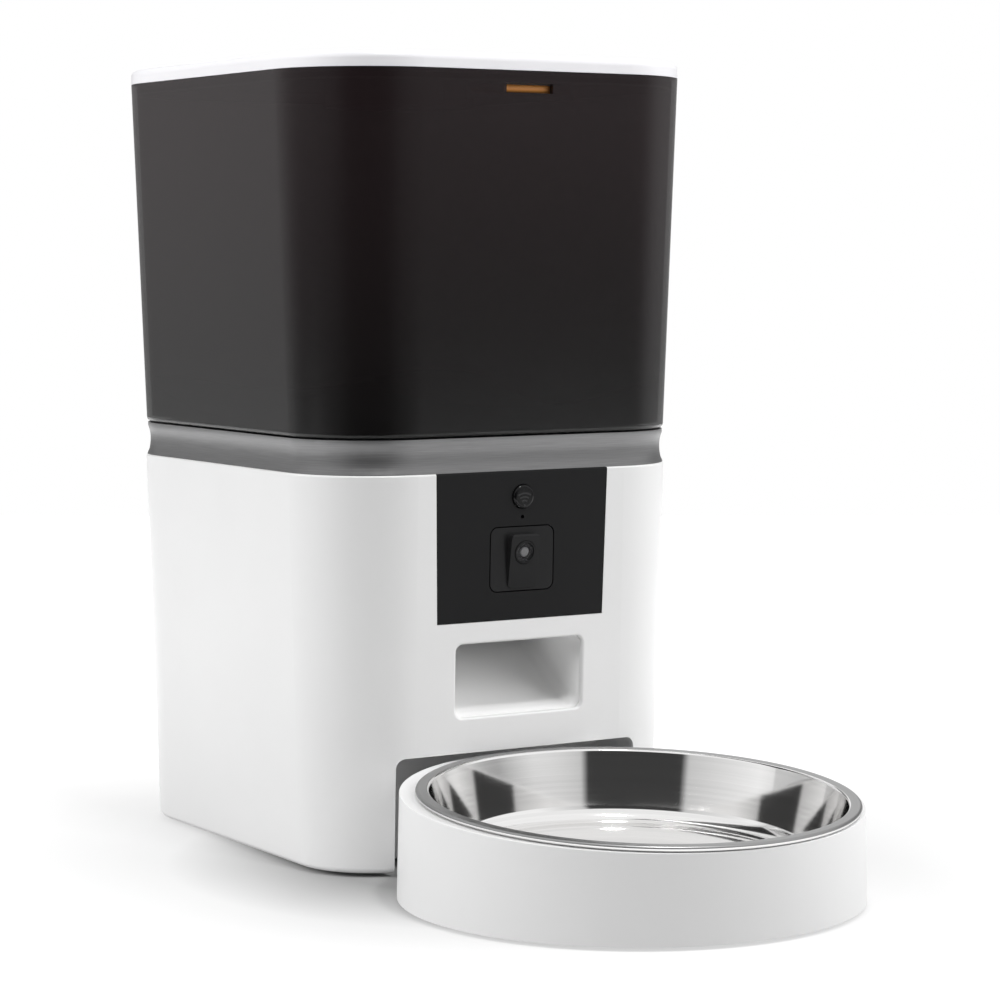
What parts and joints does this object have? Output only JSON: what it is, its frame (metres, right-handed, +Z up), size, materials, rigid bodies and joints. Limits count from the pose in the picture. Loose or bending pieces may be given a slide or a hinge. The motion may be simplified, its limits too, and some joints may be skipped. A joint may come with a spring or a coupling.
{
  "type": "automatic pet feeder with camera",
  "caption": "Free-standing automatic pet feeder: white body with a camera panel and food chute, smoked lift-off hopper with a latched lid, rotor dispenser and a tilted steel bowl on a stand.",
  "frame": {"origin": "on the floor under the middle of the whole feeder with its bowl stand in place", "axes": "+Z up, the bowl and the chute face -Y, +X to the right seen from behind the bowl looking at the back"},
  "size_m": [0.1742, 0.3528, 0.3092],
  "materials": {
    "white_plastic": "fine satin moulded",
    "grey_plastic": "satin moulded",
    "black_plastic": "satin moulded",
    "smoked_plastic": "polished, smoked and translucent",
    "amber_plastic": "satin moulded",
    "lens_glass": "polished",
    "bowl_steel": "polished inside, brushed rim",
    "plain_steel": "plated",
    "circuit_board": "solder resist",
    "soft_rubber": "matt moulded"
  },
  "bodies": {
    "base": {"body_shell": "white_plastic", "bay_liner": "grey_plastic", "neck_ring": "grey_plastic", "deck_well": "white_plastic", "base_plate": "grey_plastic", "rubber_feet": "soft_rubber", "base_screws": "plain_steel", "front_panel": "black_plastic", "camera_pod": "black_plastic", "lens_ring": "black_plastic", "camera_lens": "lens_glass", "camera_board": "circuit_board", "control_board": "circuit_board", "food_chute": "white_plastic", "food_sensors": "circuit_board", "gearbox_case": "grey_plastic", "drive_motor": "plain_steel", "main_board": "circuit_board", "power_jack": "plain_steel", "speaker": "black_plastic", "board_screws": "plain_steel"},
    "button": {"feed_button": "black_plastic"},
    "drive": {"drive_gear": "white_plastic", "drive_shaft": "plain_steel"},
    "pinion": {"motor_pinion": "white_plastic"},
    "hopper": {"hopper": "smoked_plastic", "rotor_pan": "white_plastic"},
    "rotor": {"rotor_hub": "white_plastic", "rotor_flaps": "soft_rubber", "rotor_cap": "white_plastic"},
    "lid": {"lid": "white_plastic", "lid_plate": "white_plastic", "lid_seal": "soft_rubber", "desiccant_box": "white_plastic"},
    "latch": {"lid_latch": "amber_plastic"},
    "stand": {"bowl_stand": "white_plastic", "stand_base": "white_plastic", "stand_pads": "soft_rubber"},
    "bowl": {"steel_bowl": "bowl_steel"}
  },
  "joints": [
    {"name": "button_press", "type": "slide", "parent": "base", "child": "button", "axis": [0, 0.9996, 0.0298], "range_m": [0, 0.0007], "stiffness_N_per_m": 900},
    {"name": "hopper_lift", "type": "slide", "parent": "base", "child": "hopper", "axis": [0, 0, 1], "range_m": [0, 0.12]},
    {"name": "rotor_spin", "type": "hinge", "parent": "hopper", "child": "rotor", "pos_m": [0, 0.07745, 0.13], "axis": [0, 0, 1], "continuous": true},
    {"name": "drive_spin", "type": "hinge", "parent": "base", "child": "drive", "pos_m": [0, 0.07745, 0.1], "axis": [0, 0, 1], "continuous": true},
    {"name": "pinion_spin", "type": "hinge", "parent": "base", "child": "pinion", "pos_m": [0, 0.10145, 0.1], "axis": [0, 0, 1], "continuous": true},
    {"name": "lid_lift", "type": "slide", "parent": "hopper", "child": "lid", "axis": [0, 0, 1], "range_m": [0, 0.1]},
    {"name": "latch_slide", "type": "slide", "parent": "lid", "child": "latch", "axis": [0, -1, 0], "range_m": [0, 0.002]},
    {"name": "stand_pull", "type": "slide", "parent": "base", "child": "stand", "axis": [0, -1, 0], "range_m": [0, 0.08]},
    {"name": "bowl_lift", "type": "slide", "parent": "stand", "child": "bowl", "axis": [0, -0.0558, 0.9984], "range_m": [0, 0.06]}
  ],
  "couplings": [
    {"joint": "drive_spin", "follows": "rotor_spin", "ratio": 1},
    {"joint": "pinion_spin", "follows": "rotor_spin", "ratio": -4}
  ]
}
